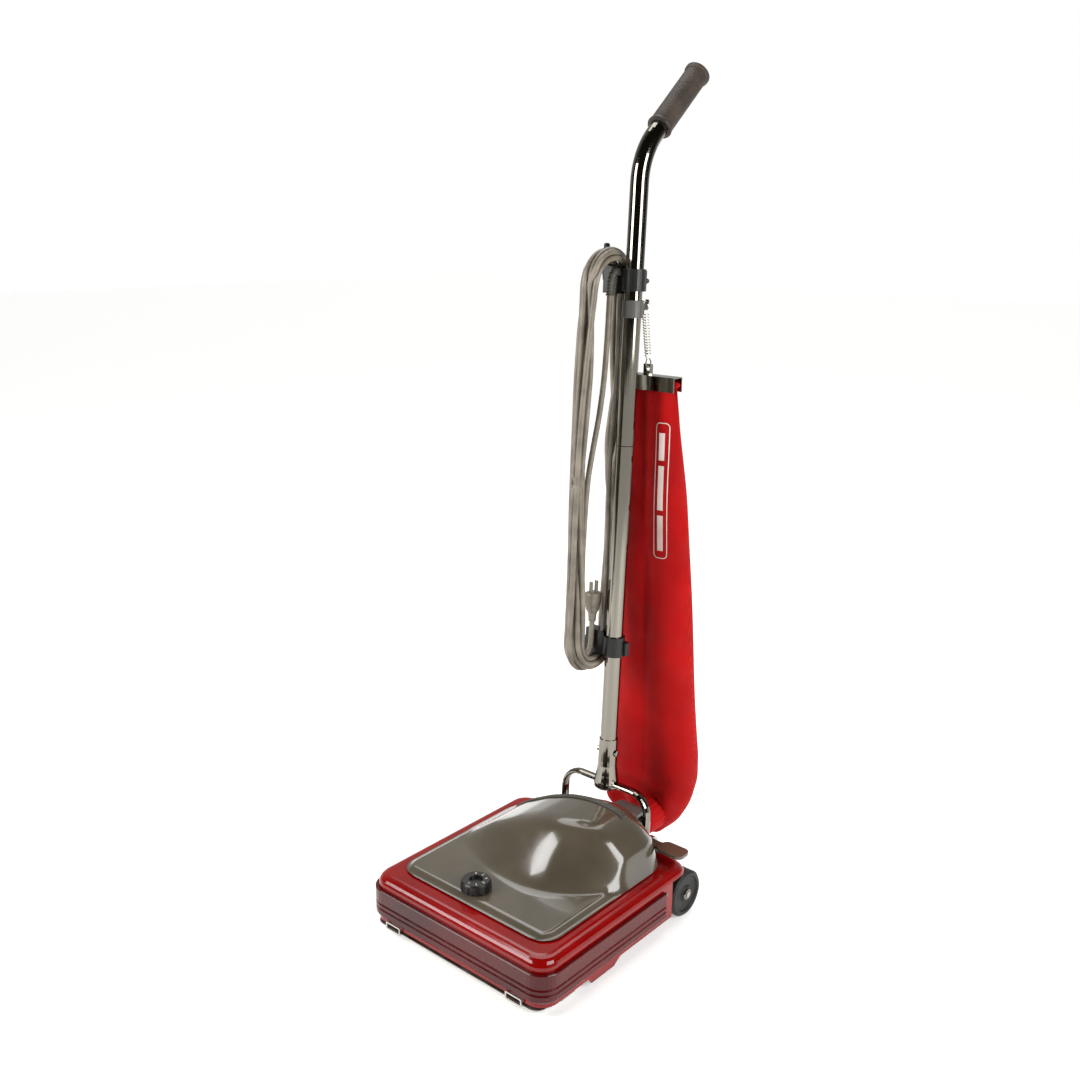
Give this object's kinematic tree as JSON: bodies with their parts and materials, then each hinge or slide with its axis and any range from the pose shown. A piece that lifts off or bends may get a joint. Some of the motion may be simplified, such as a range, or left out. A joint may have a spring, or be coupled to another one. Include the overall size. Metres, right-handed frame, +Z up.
{
  "type": "upright vacuum cleaner",
  "caption": "Upright vacuum cleaner with a low wheeled nozzle, domed motor hood, chrome tube handle, hanging cloth dust bag and mains cord wound on hooks.",
  "frame": {"origin": "on the floor under the middle of the machine without its cord", "axes": "+X is the side away from the cord hooks; -Y is where the nozzle faces; +Y is the user's side; +Z is up"},
  "size_m": [0.335, 0.5175, 1.1917],
  "materials": {
    "red_plastic": "glossy moulded",
    "hood_plastic": "glossy moulded",
    "black_plastic": "moulded",
    "guard_vinyl": "soft vinyl",
    "chrome": "polished",
    "zinc_steel": "zinc plated",
    "black_rubber": "moulded",
    "grip_rubber": "ribbed",
    "bag_cloth": "woven",
    "cord_vinyl": "smooth jacket",
    "motor_metal": "cast",
    "beech": "turned"
  },
  "bodies": {
    "base": {"base_housing": "red_plastic", "furniture_guard": "guard_vinyl", "base_plate": "zinc_steel", "motor_pan": "black_plastic", "motor_hood": "hood_plastic", "hood_trim_band": "black_plastic", "motor_housing": "motor_metal", "fan_housing": "black_plastic", "exhaust_duct": "black_plastic", "bag_connector": "black_plastic", "drive_belt": "black_rubber", "rear_axle": "zinc_steel", "pedal_bracket": "black_plastic", "latch_hinge": "black_plastic", "bag_foot": "bag_cloth", "axle_nut_left": "chrome", "axle_nut_right": "chrome", "brush_end_cap_left": "black_plastic", "brush_end_cap_right": "black_plastic", "pivot_bracket_left": "zinc_steel", "pivot_bracket_right": "zinc_steel", "guard_screw_left": "chrome", "guard_screw_right": "chrome"},
    "motor_rotor": {"motor_armature": "motor_metal", "motor_pulley": "zinc_steel", "fan_impeller": "black_plastic"},
    "brush": {"brush_roll": "beech", "bristle_row_1": "black_plastic", "bristle_row_2": "black_plastic"},
    "height_dial": {"height_knob": "black_plastic", "height_cam": "black_plastic"},
    "carriage": {"front_carriage": "black_plastic", "front_axle": "zinc_steel"},
    "front_roller_left": {"front_wheel_left": "black_rubber"},
    "front_roller_right": {"front_wheel_right": "black_rubber"},
    "wheel_left": {"rear_wheel_left": "black_rubber"},
    "wheel_right": {"rear_wheel_right": "black_rubber"},
    "pedal": {"foot_pedal": "hood_plastic"},
    "latch": {"bag_latch": "black_plastic"},
    "clip_left": {"plate_clip_left": "zinc_steel"},
    "clip_right": {"plate_clip_right": "zinc_steel"},
    "handle": {"handle_bail": "chrome", "lower_tube": "chrome", "upper_tube": "chrome", "handle_grip": "grip_rubber", "bail_bolt": "chrome", "cord_hook_upper": "black_plastic", "cord_hook_lower": "black_plastic", "motor_lead": "cord_vinyl", "strain_relief": "black_rubber", "cord_drop": "cord_vinyl", "cord_tail": "cord_vinyl", "cord_hank": "cord_vinyl", "power_plug": "cord_vinyl", "spring_bracket": "zinc_steel", "bag_spring": "chrome", "bag_slide": "chrome", "dust_bag": "bag_cloth"},
    "switch": {"switch_toggle": "black_plastic"}
  },
  "joints": [
    {"name": "handle_recline", "type": "hinge", "parent": "base", "child": "handle", "pos_m": [0, 0.07525, 0.085], "axis": [-1, 0, 0], "range_deg": [0, 70], "deforming": ["bag_foot"]},
    {"name": "motor_spin", "type": "hinge", "parent": "base", "child": "motor_rotor", "pos_m": [0, -0.05375, 0.085], "axis": [1, 0, 0], "continuous": true},
    {"name": "brush_spin", "type": "hinge", "parent": "base", "child": "brush", "pos_m": [0, -0.21275, 0.0245], "axis": [1, 0, 0], "continuous": true},
    {"name": "wheel_left_spin", "type": "hinge", "parent": "base", "child": "wheel_left", "pos_m": [-0.1505, 0.06575, 0.0345], "axis": [1, 0, 0], "continuous": true},
    {"name": "wheel_right_spin", "type": "hinge", "parent": "base", "child": "wheel_right", "pos_m": [0.1505, 0.06575, 0.0345], "axis": [1, 0, 0], "continuous": true},
    {"name": "carriage_tilt", "type": "hinge", "parent": "base", "child": "carriage", "pos_m": [0, -0.07575, 0.03], "axis": [1, 0, 0], "range_deg": [0, 3.4]},
    {"name": "front_roller_left_spin", "type": "hinge", "parent": "carriage", "child": "front_roller_left", "pos_m": [-0.057, -0.14075, 0.015], "axis": [1, 0, 0], "continuous": true},
    {"name": "front_roller_right_spin", "type": "hinge", "parent": "carriage", "child": "front_roller_right", "pos_m": [0.057, -0.14075, 0.015], "axis": [1, 0, 0], "continuous": true},
    {"name": "height_dial_turn", "type": "hinge", "parent": "base", "child": "height_dial", "pos_m": [-0.014, -0.19275, 0.09], "axis": [0, 0, -1], "range_deg": [0, 300]},
    {"name": "pedal_press", "type": "hinge", "parent": "base", "child": "pedal", "pos_m": [0.1035, 0.05275, 0.0995], "axis": [0, 1, 0], "range_deg": [0, 8], "stiffness_Nm_per_rad": 0.4, "springref_deg": -6.88},
    {"name": "latch_lift", "type": "hinge", "parent": "base", "child": "latch", "pos_m": [0.03, 0.08355, 0.1095], "axis": [1, 0, 0], "range_deg": [0, 55]},
    {"name": "clip_left_open", "type": "hinge", "parent": "base", "child": "clip_left", "pos_m": [-0.1145, -0.25735, 0.02055], "axis": [-1, 0, 0], "range_deg": [0, 90]},
    {"name": "clip_right_open", "type": "hinge", "parent": "base", "child": "clip_right", "pos_m": [0.1145, -0.25735, 0.02055], "axis": [-1, 0, 0], "range_deg": [0, 90]},
    {"name": "switch_tip", "type": "hinge", "parent": "handle", "child": "switch", "pos_m": [0, 0.13025, 0.89934], "axis": [1, 0, 0], "range_deg": [-14, 14]}
  ],
  "couplings": [
    {"joint": "brush_spin", "follows": "motor_spin", "ratio": 0.52},
    {"joint": "height_dial_turn", "follows": "carriage_tilt", "ratio": 88}
  ]
}
